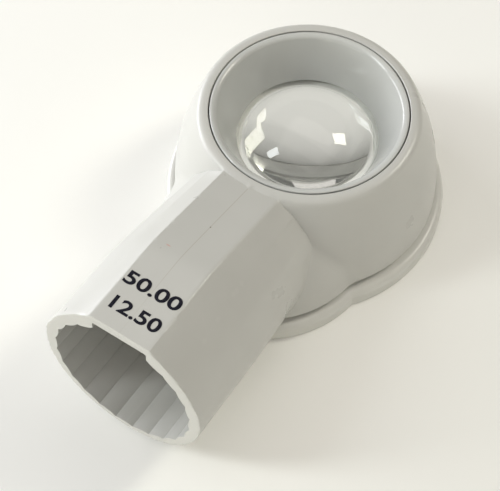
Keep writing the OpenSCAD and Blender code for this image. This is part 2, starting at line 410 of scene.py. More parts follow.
# Long edges of the neck, from the flat on top down its right side
NECK_RAILS = [
    rail((6.5, 17.0), (6.4, 17.8), (6.4, 29.4)),
    rail((11.2, 13.6), (11.3, 13.6), (9.9, 26.8)),
    rail((14.7, 9.8), (15.3, 8.9), (13.1, 22.9)),
    rail((16.2, 7.1), (16.2, 7.1), (14.9, 19.2)),
    rail((17.0, 4.93), (17.0, 4.93), (15.7, 15.0)),
]
NECK_MIDDLE = rail((0, 0), (0, 0), (0, 12.2))
# How softly each face meets the one above it, at the rim and at the mouth
NECK_EASE = [(0.10, 0.14), (0.02, 0.9), (0.04, 1.2), (0.15, 1.1)]
ROUND_EASE = 0.3  # the same for the round underside
BEND_EASE = 1.6
GATE_MARK = np.array([0.0, -21.9, 29.8])
GATE_MARK_HALF = np.array([0.42, 1.0, 0.32])


def along(line, y, k):
    """Coordinate k of a rail at each y, with its bend eased."""
    (a, b), (low, high) = np.diff(line[:, k]) / np.diff(line[:, 1]), line[1, [1, k]]
    s = y - low
    return high + (a + b) / 2 * s + (b - a) / 2 * np.sqrt(s * s + BEND_EASE**2)


def neck_field(p):
    x, y, z = np.abs(p[:, 0]), p[:, 1], p[:, 2]
    lines = [(along(line, y, 0), along(line, y, 2)) for line in NECK_RAILS]
    field = z - lines[0][1]
    to_mouth = np.clip((HEAD_Y - y) / 40, 0, 1) ** 2
    for (xa, za), (xb, zb), (ease, mouth_ease) in zip(lines, lines[1:], NECK_EASE):
        run, rise = xb - xa, zb - za
        face = ((z - za) * run - (x - xa) * rise) / np.hypot(run, rise)
        field = soft_max(field, face, ease + (mouth_ease - ease) * to_mouth)
    # below the last rail the neck is round, and above it the round's tangent carries on
    middle = along(NECK_MIDDLE, y, 2)
    xe, ze = lines[-1][0], lines[-1][1] - middle
    radius = np.hypot(xe, ze)
    above = (z - middle) * xe > x * ze
    tangent = (x * xe + (z - middle) * ze) / radius - radius
    tube = np.where(above, tangent, np.hypot(x, z - middle) - radius)
    field = soft_max(field, tube, ROUND_EASE)
    mouth = (p - MOUTH) @ SOCKET_AXIS
    field = round_corner(field, mouth, 0.3)
    field = np.maximum(field, y - HEAD_Y - 1.5)
    # clear of the page, and of the base ring that passes under the neck
    base = np.minimum(
        np.hypot(x, y) - BASE_R - GROUND_CLEARANCE,
        np.hypot(x, y - BAY_Y) - BAY_BASE_R - GROUND_CLEARANCE,
    )
    field = np.maximum(field, GROUND_CLEARANCE - z)
    return np.maximum(field, -np.maximum(base, z - FOOT_Z))


def dome_field(p):
    r, z = np.hypot(p[:, 0], p[:, 1]), p[:, 2]
    side = np.hypot(r - BARREL_C[0], z - BARREL_C[1]) - BARREL_R
    rim = np.hypot(r - RIM_C[0], z - RIM_C[1]) - RIM_ROUND
    rim_line = (RIM_C[1] - BARREL_C[1]) / (RIM_C[0] - BARREL_C[0])
    at_rim = (r > RIM_C[0]) & (z - RIM_C[1] > (r - RIM_C[0]) * rim_line)
    body = np.where(at_rim, rim, np.maximum(side, z - DOME_TOP))
    return round_corner(body, FOOT_Z - z, FOOT_ROUND)


def bay_field(p):
    r, z = np.hypot(p[:, 0], p[:, 1] - BAY_Y), p[:, 2]
    side = np.hypot(r - BAY_C[0], z - BAY_C[1]) - BAY_CURVE_R
    return round_corner(np.maximum(side, z - BAY_TOP), FOOT_Z - z, FOOT_ROUND)


def gate_mark_field(p):
    """The small raised stub left where the moulding's gate was trimmed."""
    return (np.linalg.norm((p - GATE_MARK) / GATE_MARK_HALF, axis=1) - 1) * GATE_MARK_HALF[2]


def housing_field(p):
    body = soft_min(dome_field(p), bay_field(p), 0.9)
    fillet = 0.1 + 0.2 * np.clip((19.5 - p[:, 2]) / 3, 0, 1)
    body = soft_min(body, neck_field(p), fillet)
    return soft_min(body, gate_mark_field(p), 0.1)


# ---------------------------------------------------------------------------------------------------------
# Cores that hollow the housing out
# ---------------------------------------------------------------------------------------------------------


def chamber_core():
    """Inside of the dome, round the sleeve that carries the lens cell, and the seat in the rim."""
    inner = BARREL_R - WALL
    ceiling = SEAT_Z - 3.4
    top = math.degrees(math.asin((ceiling - FOOT_Z) / inner))
    return lathe("chamber_core", [
        (0, -1), (DOME_R - WALL, -1), *arc(BARREL_C, inner, 0, top),
        (SLEEVE_R, ceiling), (SLEEVE_R, SLEEVE_Z), (SLEEVE_IN_R, SLEEVE_Z), (SLEEVE_IN_R, SEAT_Z),
        (SEAT_R, SEAT_Z), (SEAT_R, DOME_TOP - 0.12), (SEAT_R + 0.18, DOME_TOP + 0.06),
        (SEAT_R + 0.18, DOME_TOP + 5), (0, DOME_TOP + 5),
    ], segments=256)


def dome_plug():
    """The dome as a solid, which keeps the lamp bay's core out of the dome's own wall."""
    steep = math.degrees(math.atan2(RIM_C[1] - BARREL_C[1], RIM_C[0] - BARREL_C[0]))
    return lathe("dome_plug", [
        (0, -5), (DOME_R, -5), *arc(BARREL_C, BARREL_R, 0, steep),
        (RIM_C[0], DOME_TOP + 2), (0, DOME_TOP + 2),
    ], segments=256)


def bay_core():
    """Inside of the lamp bay, up to the dome's wall, with the way through to the socket."""
    inner = BAY_CURVE_R - WALL
    start, end = (math.degrees(math.asin((z - BAY_C[1]) / inner)) for z in (FOOT_Z, BAY_TOP - 4))
    profile = [(0, -1), (BAY_R - WALL, -1), *arc(BAY_C, inner, start, end), (0, BAY_TOP - 4)]
    core = lathe("bay_core", profile, origin=(0, BAY_Y, 0))
    passage = lathe("passage", [(0, 0), (13, 0), (13, 20), (0, 20)],
                    origin=BORE_START + INWARD * (SOCKET_DEPTH + 1.78), axis=INWARD)
    block = prism("block", [(-50, -50), (50, -50), (50, 0), (-50, 0)], 7.6, 57.6)
    join(core, combine(passage, [block], "INTERSECT"))
    return cut(core, dome_plug())


def socket_cores():
    """The fluted mouth, the plain bore with the lamp collar's seat, the keyway and the light's way out."""
    run = SOCKET_DEPTH - LAND_LENGTH
    flutes = prism("flutes", fluted_outline(BORE_R + 0.05, FLUTE_DEPTH, FLUTES), -5, run, BORE_START, INWARD)
    seat_r, seat_end = 13.6, SOCKET_DEPTH + COLLAR_H
    land = lathe("land", eased([
        (0, run - 0.02), (BORE_R, run - 0.02), (BORE_R, SOCKET_DEPTH), (seat_r, SOCKET_DEPTH),
        (seat_r, seat_end), (0, seat_end),
    ], 0.15), BORE_START, INWARD)
    corner = 0.45
    key = [(-KEY_HALF_W, 0), (KEY_HALF_W, 0)]
    key += arc((KEY_HALF_W - corner, KEY_TOP - corner), corner, 0, 90, 5)
    key += arc((-KEY_HALF_W + corner, KEY_TOP - corner), corner, 90, 180, 5)
    # the keyway is drawn from the middle of the tube, with the flat's side up
    keyway = prism("keyway", [(x, -y) for x, y in key], -5, SOCKET_DEPTH, MOUTH, INWARD)
    window_start = BORE_START + INWARD * (SOCKET_DEPTH + 9.8)
    window = lathe("window", [(0, 0), (9, 0), (9, 10), (0, 10)], window_start, INWARD)
    return flutes, land, keyway, window


# ---------------------------------------------------------------------------------------------------------
# Pieces
# ---------------------------------------------------------------------------------------------------------


def housing_piece():
    """Dome, lamp bay, neck and fluted socket: one moulding."""
    lo = (-DOME_R - 1.1, -MOUTH_Y - 2.9, -0.7)
    hi = (DOME_R + 1.1, DOME_R + 1.1, MOUTH_Z + 19)
    shell = skin_of("housing_shell", housing_field, lo, hi, HOUSING_STEP)
    cut(shell, chamber_core(), bay_core(), *socket_cores())
    shade(shell)
    return crisp_flutes(shell)


def crisp_flutes(shell):
    """Keeps the creases between the bore's ridges sharp, which shade would smooth over."""
    bm = bmesh.new()
    bm.from_mesh(shell.data)
    start, inward = Vector(BORE_START * MM), Vector(INWARD)
    for edge in bm.edges:
        from_start = edge.verts[0].co - start
        depth = from_start.dot(inward)
        reach = (from_start - inward * depth).length
        if depth < (SOCKET_DEPTH - LAND_LENGTH + 1) * MM and reach < (BORE_R + FLUTE_DEPTH + 0.1) * MM:
            if edge.calc_face_angle(0) > math.radians(6):
                edge.smooth = False
    bm.to_mesh(shell.data)
    bm.free()
    return shell


def skirt_lobe(name, r_base, r_body, y):
    """One lobe of the base: ring, step under the housing and spigot inside it."""
    r_in = r_body - WALL - GAP
    top = BASE_H - BASE_ROUND
    return lathe(name, [
        (0, 0), (r_base - 0.35, 0), (r_base, 0.35), *arc((r_base - BASE_ROUND, top), BASE_ROUND, 0, 90, 10),
        (r_body - 1.4, BASE_H), (r_body - 1.4, FOOT_Z), (r_in, FOOT_Z), (r_in, FOOT_Z + 1.7),
        (r_in - 0.3, FOOT_Z + 2), (0, FOOT_Z + 2),
    ], origin=(0, y, 0), segments=288)


def skirt_piece():
    """The two-lobed ring that stands on the page."""
    ring = skirt_lobe("base_ring", BASE_R, DOME_R, 0)
    join(ring, skirt_lobe("bay_lobe", BAY_BASE_R, BAY_R, BAY_Y))
    aperture = lathe("aperture", [
        (0, -1), (APERTURE_R + 1.0, -1), (APERTURE_R + 1.0, 0), (APERTURE_R, 0.9),
        (APERTURE_R, 20), (0, 20),
    ], segments=288)
    floor_r = BAY_R - WALL - GAP - 1.5
    tray = lathe("tray", [(0, 1.6), (floor_r, 1.6), (floor_r, 20), (0, 20)], origin=(0, BAY_Y, 0))
    cut(tray, lathe("dome_footing", [(0, -1), (DOME_R - 1.4, -1), (DOME_R - 1.4, FOOT_Z), (0, FOOT_Z)]))
    slot_in, slot_out = DOME_R - WALL - GAP, DOME_R + 3 * GAP
    wall_slot = lathe("wall_slot", [(slot_in, FOOT_Z), (slot_out, FOOT_Z), (slot_out, 15), (slot_in, 15)])
    cut(ring, aperture, tray, wall_slot)
    return shade(ring)


def cup_piece():
    """The conical eyepiece cup, with its rounded lip and the foot that holds the lens down."""
    lip_c = (LIP_R - 0.35, DOME_TOP - LIP_ROUND)
    out, rise = lip_c[0] - CLEAR_R - 0.12, lip_c[1] - FUNNEL_Z - 0.42
    cone = math.atan2(rise, out) + math.asin(LIP_ROUND / math.hypot(out, rise))
    run = (math.cos(cone), math.sin(cone))
    lip_in = (lip_c[0] - LIP_ROUND * run[1], lip_c[1] + LIP_ROUND * run[0])
    back = (CUP_WALL * run[1], -CUP_WALL * run[0])
    foot_top = FUNNEL_Z + 1.2
    back_r = CLEAR_R + back[0] + (foot_top - FUNNEL_Z - back[1]) * run[0] / run[1]
    return shade(lathe("eyepiece_cup", [
        (CLEAR_R + 0.25, FUNNEL_Z), (CELL_R, FUNNEL_Z), (CELL_R, foot_top), (back_r, foot_top),
        (lip_in[0] + back[0], SEAT_Z), (LIP_R, SEAT_Z), (LIP_R, DOME_TOP - 0.25),
        (LIP_R - 0.05, DOME_TOP - 0.1), (LIP_R - 0.15, DOME_TOP - 0.02),
        *arc(lip_c, LIP_ROUND, 90, 90 + math.degrees(cone), 16),
        (CLEAR_R + 0.12, FUNNEL_Z + 0.42), (CLEAR_R, FUNNEL_Z + 0.2),
    ], segments=288), 32)


def lens_piece(name, lo, hi, edge_h, dome_r, chamfer=0.15):
    """A lens with a flat foot, a flat edge flange and a spherical dome."""
    z, rise = lo[2], hi[2] - lo[2] - edge_h
    curve_r = (dome_r * dome_r + rise * rise) / (2 * rise)
    half = math.degrees(math.asin(dome_r / curve_r))
    dome = arc((0, edge_h + rise - curve_r), curve_r, 90 - half, 90, 48)
    profile = [
        (0, 0), (LENS_R - chamfer, 0), (LENS_R, chamfer), (LENS_R, edge_h - chamfer),
        (LENS_R - chamfer, edge_h), (dome_r + 0.12, edge_h), *dome[1:-1], (0, dome[-1][1]),
    ]
    return shade(lathe(name, profile, origin=(0, 0, z), segments=256), 30)


def ring_piece(name, lo, hi, inner_r):
    """A plain moulded ring with eased edges."""
    profile = [(inner_r, lo[2]), (hi[0], lo[2]), (hi[0], hi[2]), (inner_r, hi[2])]
    return shade(lathe(name, eased(profile, 0.25)))


def cell_piece():
    """The barrel that the lenses drop into, with the ledge that they sit on."""
    ledge_z, wall_r, ledge_r = LOWER_LO[2], LENS_R + GAP, LENS_R - 1.7
    return shade(lathe("lens_barrel", eased([
        (ledge_r, CELL_LO[2]), (CELL_R, CELL_LO[2]), (CELL_R, CELL_HI[2]), (wall_r, CELL_HI[2]),
        (wall_r, ledge_z), (ledge_r, ledge_z),
    ], 0.2)))


def bore_lathe(name, profile, depth):
    """A turned piece on the bore's own axis, at a depth from the mouth."""
    return shade(lathe(name, profile, origin=BORE_START + INWARD * depth, axis=INWARD, segments=128))


def collar_piece():
    """The collar that the lamp's nose passes through, with a lead-in round its hole."""
    hole = LAMP_R + 1.2
    return bore_lathe("lamp_nose_collar", eased([
        (hole + 0.8, 0), (13.5, 0), (13.5, COLLAR_H), (hole, COLLAR_H), (hole, 0.8),
    ], 0.2), SOCKET_DEPTH)


def reflector_piece():
    """The bright cup round the lamp, with a flange at each end."""
    skin, steps = 0.8, 24
    inner = [
        (LAMP_R + (DIFFUSER_R - 0.4 - LAMP_R) * math.sqrt(i / steps), REFLECTOR_LENGTH * i / steps)
        for i in range(steps + 1)
    ]
    outer = [(r + skin, z - skin / 2) for r, z in inner[steps - 1:3:-1]]
    return bore_lathe("lamp_reflector_cup", [
        *inner, (BEZEL_R, REFLECTOR_LENGTH), (BEZEL_R, REFLECTOR_LENGTH - skin), *outer, (9, skin), (9, 0),
    ], REFLECTOR_DEPTH)


def diffuser_piece():
    """The frosted window in front of the lamp, faintly crowned on the side away from it."""
    curve_r = 40
    half = math.degrees(math.asin((DIFFUSER_R - 1.4) / curve_r))
    crown = arc((0, DIFFUSER_H - curve_r), curve_r, 90 - half, 90, 8)
    return bore_lathe("frosted_window", [
        (0, 0), (DIFFUSER_R - 0.15, 0), (DIFFUSER_R, 0.15), (DIFFUSER_R, DIFFUSER_H - 0.6),
        (DIFFUSER_R - 0.2, DIFFUSER_H - 0.45), *crown[:-1], (0, DIFFUSER_H),
    ], REFLECTOR_DEPTH + REFLECTOR_LENGTH)


def bezel_piece():
    """The bezel that clips the window to the reflector."""
    return bore_lathe("window_bezel", eased([
        (DIFFUSER_R + GAP / 2, 0), (BEZEL_R, 0), (BEZEL_R, 2), (DIFFUSER_R - 0.6, 2),
        (DIFFUSER_R - 0.6, DIFFUSER_H + 0.05), (DIFFUSER_R + GAP / 2, DIFFUSER_H + 0.05),
    ], 0.15), REFLECTOR_DEPTH + REFLECTOR_LENGTH)


def numerals(name, text, left, baseline, width):
    """One printed row of figures on the flat. It reads with the handle towards the reader."""
    letters = bpy.data.curves.new(name, "FONT")
    letters.body = text
    letters.size = 1.0
    letters.offset = 0.022
    letters.extrude = 0.5
    letters.resolution_u = 6
    drawn = bpy.data.objects.new(name + "_outline", letters)
    bpy.context.scene.collection.objects.link(drawn)
    mesh = bpy.data.meshes.new_from_object(drawn.evaluated_get(bpy.context.evaluated_depsgraph_get()))
    bpy.data.objects.remove(drawn)
    points = np.array([v.co for v in mesh.vertices])
    faces = [list(f.vertices) for f in mesh.polygons]
    bpy.data.meshes.remove(mesh)
    lo, hi = points.min(axis=0), points.max(axis=0)
    scale = np.array([width / (hi[0] - lo[0]), FIGURE_H / (hi[1] - lo[1]), INK_H / (hi[2] - lo[2])])
    points = (points - lo) * scale
    start, end = NECK_RAILS[0][0], NECK_RAILS[0][1]
    ahead = (end - start) * [0, 1, 1]
    ahead /= np.linalg.norm(ahead)
    face_up = np.cross([1.0, 0, 0], ahead)
    # half of the ink's thickness is in the surface
    at = np.array([left, start[1], start[2]]) + ahead * (baseline - start[1]) - face_up * (INK_H * 0.5)
    return new_object(name, at + points @ np.array([[1.0, 0, 0], ahead, face_up]), faces)


# ---------------------------------------------------------------------------------------------------------
# Shader wiring
# ---------------------------------------------------------------------------------------------------------


def add(tree, kind, inputs=None, **settings):
    """Adds a node. Each input is a plain value or the socket that feeds it."""
    node = tree.nodes.new(kind)
    for name, value in settings.items():
        setattr(node, name, value)
    for name, value in (inputs or {}).items():
        socket = node.inputs[name]
        if isinstance(value, bpy.types.NodeSocket):
            tree.links.new(value, socket)
        else:
            socket.default_value = value
    return node


def sums(tree, operation, *values):
    """The result of a Math node on sockets or plain values."""
    return add(tree, "ShaderNodeMath", dict(enumerate(values)), operation=operation).outputs[0]


def ramp(tree, value, start, end, low=0.0, high=1.0):
    """Value rescaled from start..end to low..high, and held there outside that range."""
    return add(tree, "ShaderNodeMapRange", {
        "Value": value, "From Min": start, "From Max": end, "To Min": low, "To Max": high,
    }).outputs[0]


def blend_colours(tree, share, first, second):
    """The first colour where share is 0, and the second where it is 1."""
    node = tree.nodes.new("ShaderNodeMix")
    node.data_type = "RGBA"
    for socket, value in zip((node.inputs[0], node.inputs[6], node.inputs[7]), (share, first, second)):
        if isinstance(value, bpy.types.NodeSocket):
            tree.links.new(value, socket)
        else:
            socket.default_value = value
    return node.outputs[2]


def effect(name, inputs, outputs, wire):
    """A shader node group. wire(tree, inputs) returns one socket for each output."""
    group = bpy.data.node_groups.new(name, "ShaderNodeTree")
    for label, value in inputs.items():
        socket = group.interface.new_socket(label, in_out="INPUT", socket_type="NodeSocketFloat")
        socket.default_value = value
    for label in outputs:
        group.interface.new_socket(label, in_out="OUTPUT", socket_type="NodeSocketFloat")
    given, out = group.nodes.new("NodeGroupInput"), group.nodes.new("NodeGroupOutput")
    for label, socket in zip(outputs, wire(group, given.outputs)):
        group.links.new(socket, out.inputs[label])
    return group


def place(tree, group, **values):
    """Puts an effect in a material with its own values. Underscores in their names stand for spaces."""
    node = tree.nodes.new("ShaderNodeGroup")
    node.node_tree = group
    for name, value in values.items():
        node.inputs[name.replace("_", " ")].default_value = value
    return node.outputs


def object_place(tree):
    return add(tree, "ShaderNodeTexCoord").outputs["Object"]


# ---------------------------------------------------------------------------------------------------------
# Effects shared by the materials
# ---------------------------------------------------------------------------------------------------------


def wire_moulded_skin(tree, given):
    """Fine spark-eroded grain, and the slow unevenness of a moulded surface."""
    spot = object_place(tree)
    grain = add(tree, "ShaderNodeTexNoise", {"Vector": spot, "Scale": given["Grain Scale"], "Detail": 3.0})
    mottle = add(tree, "ShaderNodeTexNoise", {"Vector": spot, "Scale": given["Mottle Scale"], "Detail": 4.0})
    return ramp(tree, grain.outputs[0], 0.3, 0.7), ramp(tree, mottle.outputs[0], 0.3, 0.7)


def wire_handling_marks(tree, given):
    """Scattered specks of dust and a few short hairline scuffs."""
    spot = object_place(tree)
    cells = add(tree, "ShaderNodeTexVoronoi", {"Vector": spot, "Scale": given["Speck Scale"]})
    chance = add(tree, "ShaderNodeSeparateColor", {"Color": cells.outputs["Color"]})
    size = ramp(tree, chance.outputs[1], 0.0, 1.0, 0.010, 0.034)
    chosen = ramp(tree, chance.outputs[0], given["Speck Share"], 0.0, 0.0, 1.0)
    chosen = sums(tree, "GREATER_THAN", chosen, 0.001)
    near = sums(tree, "LESS_THAN", cells.outputs["Distance"], size)
    specks = sums(tree, "MULTIPLY", near, chosen)
    stretch = add(tree, "ShaderNodeMapping", {
        "Vector": spot, "Rotation": (0.2, 0.1, 0.6), "Scale": (1.0, 0.22, 1.0)})
    lines = add(tree, "ShaderNodeTexNoise", {
        "Vector": stretch.outputs[0], "Scale": given["Scuff Scale"], "Detail": 5.0})
    off = sums(tree, "ABSOLUTE", sums(tree, "SUBTRACT", lines.outputs[0], 0.5))
    patches = add(tree, "ShaderNodeTexNoise", {"Vector": spot, "Scale": 210.0, "Detail": 1.0})
    scuffs = sums(tree, "MULTIPLY", ramp(tree, off, 0.0035, 0.0), ramp(tree, patches.outputs[0], 0.60, 0.70))
    return specks, scuffs


def wire_painted_edge_highlight_and_crease_shade(tree, given):
    """Painted highlight where a surface turns outward, and painted shade where it folds inward."""
    turn = add(tree, "ShaderNodeNewGeometry").outputs["Pointiness"]
    return ramp(tree, turn, 0.53, 0.62), ramp(tree, turn, given["Crease Start"], given["Crease End"])


MOULDED_SKIN = effect("moulded_skin", {"Grain Scale": 6500.0, "Mottle Scale": 90.0},
                      ["Grain", "Mottle"], wire_moulded_skin)
HANDLING_MARKS = effect("handling_marks", {"Speck Scale": 240.0, "Speck Share": 0.2, "Scuff Scale": 900.0},
                        ["Specks", "Scuffs"], wire_handling_marks)
PAINTED_EDGE_HIGHLIGHT_AND_CREASE_SHADE = effect("painted_edge_highlight_and_crease_shade", {"Crease Start": 0.47, "Crease End": 0.40},
                           ["Edges", "Crease Shade"], wire_painted_edge_highlight_and_crease_shade)


# ---------------------------------------------------------------------------------------------------------
# Materials
# ---------------------------------------------------------------------------------------------------------

DUST = (0.16, 0.13, 0.10, 1)
PAGE_TINT = (0.945, 0.938, 0.915)
PLASTIC_TINT = (0.56, 0.555, 0.53)
CUP_TINT = (0.55, 0.555, 0.54)
INNER_TINT = (0.88, 0.88, 0.86)
COLLAR_TINT = (0.03, 0.03, 0.03)


def new_material(name):
    material = bpy.data.materials.new(name)
    material.use_nodes = True
    tree = material.node_tree
    return material, tree, next(n for n in tree.nodes if n.type == "BSDF_PRINCIPLED")


def feed(tree, shader, **sources):
    """Wires sockets into, or sets values on, the shader's inputs, named with underscores for spaces."""
    for name, source in sources.items():
        socket = shader.inputs[name.replace("_", " ")]
        if isinstance(source, bpy.types.NodeSocket):
            tree.links.new(source, socket)
        else:
            socket.default_value = source


def shaded(tint, change):
    return tuple(min(1.0, c * (1 + change)) for c in tint) + (1,)


def moulded_plastic(name, tint, rough, grain_depth=0.012, specks=0.16, extra=None):
    """Moulded plastic with mottled tone, grain, dust and scuffs, a painted highlight on outward edges and
    painted shade in inward creases.
    """
    material, tree, shader = new_material(name)
    skin = place(tree, MOULDED_SKIN)
    marks = place(tree, HANDLING_MARKS, Speck_Share=specks)
    edges = place(tree, PAINTED_EDGE_HIGHLIGHT_AND_CREASE_SHADE)
    colour = blend_colours(tree, skin["Mottle"], shaded(tint, -0.018), shaded(tint, 0.018))
    # painted highlight: edges that turn outward are made lighter
    colour = blend_colours(tree, sums(tree, "MULTIPLY", edges["Edges"], 0.35), colour, shaded(tint, 0.08))
    # painted shade: creases that fold inward are made darker
    colour = blend_colours(tree, sums(tree, "MULTIPLY", edges["Crease Shade"], 0.6), colour, shaded(tint, -0.45))
    colour = blend_colours(tree, sums(tree, "MULTIPLY", marks["Scuffs"], 0.22), colour, shaded(tint, -0.5))
    if extra:
        colour = extra(tree, colour)
    colour = blend_colours(tree, sums(tree, "MULTIPLY", marks["Specks"], 0.55), colour, DUST)
    gloss = ramp(tree, skin["Mottle"], 0.0, 1.0, rough - 0.03, rough + 0.03)
    gloss = sums(tree, "ADD", gloss, sums(tree, "MULTIPLY", marks["Scuffs"], 0.12))
    bump = add(tree, "ShaderNodeBump", {
        "Height": skin["Grain"], "Strength": 0.35, "Distance": grain_depth * MM})
    feed(tree, shader, Base_Color=colour, Roughness=gloss, Normal=bump.outputs[0])
    return material


def housing_marks(tree, colour):
    """Dirt in the parting line along the flat, a dark dot on it, and one small rubbed mark beside it."""
    x, y, z = add(tree, "ShaderNodeSeparateXYZ", {"Vector": object_place(tree)}).outputs[:3]
    beside = sums(tree, "ABSOLUTE", x)
    line = ramp(tree, beside, 0.11 * MM, 0.03 * MM)
    high = sums(tree, "GREATER_THAN", z, 28.4 * MM)
    fade = ramp(tree, y, -58 * MM, -44 * MM, 0.25, 1.0)
    line = sums(tree, "MULTIPLY", sums(tree, "MULTIPLY", line, high), fade)
    line = sums(tree, "MULTIPLY", line, sums(tree, "LESS_THAN", y, -22.9 * MM))
    colour = blend_colours(tree, sums(tree, "MULTIPLY", line, 0.35), colour, (0.30, 0.24, 0.17, 1))
    for place_mm, half_mm, share, tint in (
        ((0.05, -35.8, 33.3), (0.17, 0.2, 2), 0.75, (0.12, 0.10, 0.07, 1)),
        ((-3.5, -44.3, 35.7), (0.55, 0.16, 2), 0.5, (0.62, 0.22, 0.16, 1)),
        ((-4.3, -45.6, 36), (0.12, 0.24, 2), 0.35, (0.25, 0.24, 0.22, 1)),
    ):
        mapping = add(tree, "ShaderNodeMapping", {
            "Vector": object_place(tree), "Location": tuple(-p / h for p, h in zip(place_mm, half_mm)),
            "Scale": tuple(1 / (h * MM) for h in half_mm)})
        length = add(tree, "ShaderNodeVectorMath", {0: mapping.outputs[0]}, operation="LENGTH")
        spot = ramp(tree, length.outputs["Value"], 1.1, 0.6)
        colour = blend_colours(tree, sums(tree, "MULTIPLY", spot, share), colour, tint)
    return colour


def lens_acrylic():
    """Clear acrylic with a trace of dust that dulls it in spots."""
    material, tree, shader = new_material("lens_acrylic")
    marks = place(tree, HANDLING_MARKS, Speck_Scale=420.0, Speck_Share=0.10)
    skin = place(tree, MOULDED_SKIN, Grain_Scale=2500.0, Mottle_Scale=160.0)
    haze = ramp(tree, skin["Mottle"], 0.75, 1.0, 0.0, 0.03)
    gloss = sums(tree, "ADD", haze, sums(tree, "MULTIPLY", marks["Specks"], 0.4))
    tint = blend_colours(tree, marks["Specks"], (0.985, 0.99, 0.98, 1), (0.55, 0.55, 0.52, 1))
    bump = add(tree, "ShaderNodeBump", {"Height": skin["Mottle"], "Strength": 0.1, "Distance": 0.002 * MM})
    feed(tree, shader, Base_Color=tint, Roughness=gloss, IOR=1.49, Transmission_Weight=1.0,
         Normal=bump.outputs[0])
    # light on its way to the barrel and the page goes straight through, so that they are lit
    path = add(tree, "ShaderNodeLightPath")
    passing = sums(tree, "MAXIMUM", path.outputs["Is Shadow Ray"], path.outputs["Is Diffuse Ray"])
    clear = add(tree, "ShaderNodeBsdfTransparent", {"Color": (0.95, 0.955, 0.94, 1)})
    either = add(tree, "ShaderNodeMixShader", {0: passing, 1: shader.outputs[0], 2: clear.outputs[0]})
    output = next(n for n in tree.nodes if n.type == "OUTPUT_MATERIAL")
    tree.links.new(either.outputs[0], output.inputs["Surface"])
    return material


def bright_metal():
    """Vacuum-plated plastic, faintly rippled."""
    material, tree, shader = new_material("reflector_metal")
    skin = place(tree, MOULDED_SKIN, Grain_Scale=3000.0, Mottle_Scale=500.0)
    marks = place(tree, HANDLING_MARKS, Speck_Scale=500.0, Speck_Share=0.25)
    colour = blend_colours(tree, skin["Mottle"], (0.86, 0.86, 0.85, 1), (0.93, 0.93, 0.92, 1))
    dull = sums(tree, "MULTIPLY", marks["Specks"], 0.3)
    gloss = sums(tree, "ADD", ramp(tree, skin["Grain"], 0, 1, 0.08, 0.16), dull)
    bump = add(tree, "ShaderNodeBump", {"Height": skin["Mottle"], "Strength": 0.3, "Distance": 0.03 * MM})
    feed(tree, shader, Base_Color=colour, Roughness=gloss, Metallic=1.0, Normal=bump.outputs[0])
    return material


def frosted_acrylic():
    """Frosted clear plastic that spreads the light."""
    material, tree, shader = new_material("diffuser_acrylic")
    skin = place(tree, MOULDED_SKIN, Grain_Scale=4000.0)
    marks = place(tree, HANDLING_MARKS, Speck_Share=0.12)
    colour = blend_colours(tree, skin["Mottle"], (0.86, 0.86, 0.82, 1), (0.92, 0.92, 0.89, 1))
    colour = blend_colours(tree, sums(tree, "MULTIPLY", marks["Specks"], 0.5), colour, DUST)
    bump = add(tree, "ShaderNodeBump", {"Height": skin["Grain"], "Strength": 0.6, "Distance": 0.03 * MM})
    gloss = ramp(tree, skin["Grain"], 0, 1, 0.42, 0.6)
    feed(tree, shader, Base_Color=colour, Roughness=gloss, Transmission_Weight=0.45, IOR=1.49,
         Normal=bump.outputs[0])
    return material


def marking_ink():
    """Pad-printed ink: almost black, thin in places, with a dry surface."""
    material, tree, shader = new_material("marking_ink")
    skin = place(tree, MOULDED_SKIN, Grain_Scale=9000.0, Mottle_Scale=1500.0)
    colour = blend_colours(tree, skin["Mottle"], (0.004, 0.004, 0.010, 1), (0.014, 0.014, 0.024, 1))
    bump = add(tree, "ShaderNodeBump", {"Height": skin["Grain"], "Strength": 0.4, "Distance": 0.01 * MM})
    gloss = ramp(tree, skin["Mottle"], 0, 1, 0.42, 0.55)
    feed(tree, shader, Base_Color=colour, Roughness=gloss, Specular_IOR_Level=0.15, Normal=bump.outputs[0])
    return material


def page_paper():
    """The plain pale sheet that the head stands on."""
    material, tree, shader = new_material("page_paper")
    skin = place(tree, MOULDED_SKIN, Grain_Scale=3000.0, Mottle_Scale=12.0)
    colour = blend_colours(tree, skin["Mottle"], shaded(PAGE_TINT, -0.006), shaded(PAGE_TINT, 0.006))
    gloss = ramp(tree, skin["Mottle"], 0, 1, 0.75, 0.85)
    feed(tree, shader, Base_Color=colour, Roughness=gloss)
    return material


# ---------------------------------------------------------------------------------------------------------
# Putting the head together
# ---------------------------------------------------------------------------------------------------------


def fit(piece, material, slot, *nodes):
    """Gives a piece its material; the slot argument is not used. It stands for its CAD nodes, which take the
    same finish.
    """
    piece.data.materials.clear()
    piece.data.materials.append(material)
    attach(piece, "root")
    for node in nodes:
        cad = frame["nodes"][node]
        cad.data.materials.clear()
        cad.data.materials.append(material)
        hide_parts(node)
    return piece


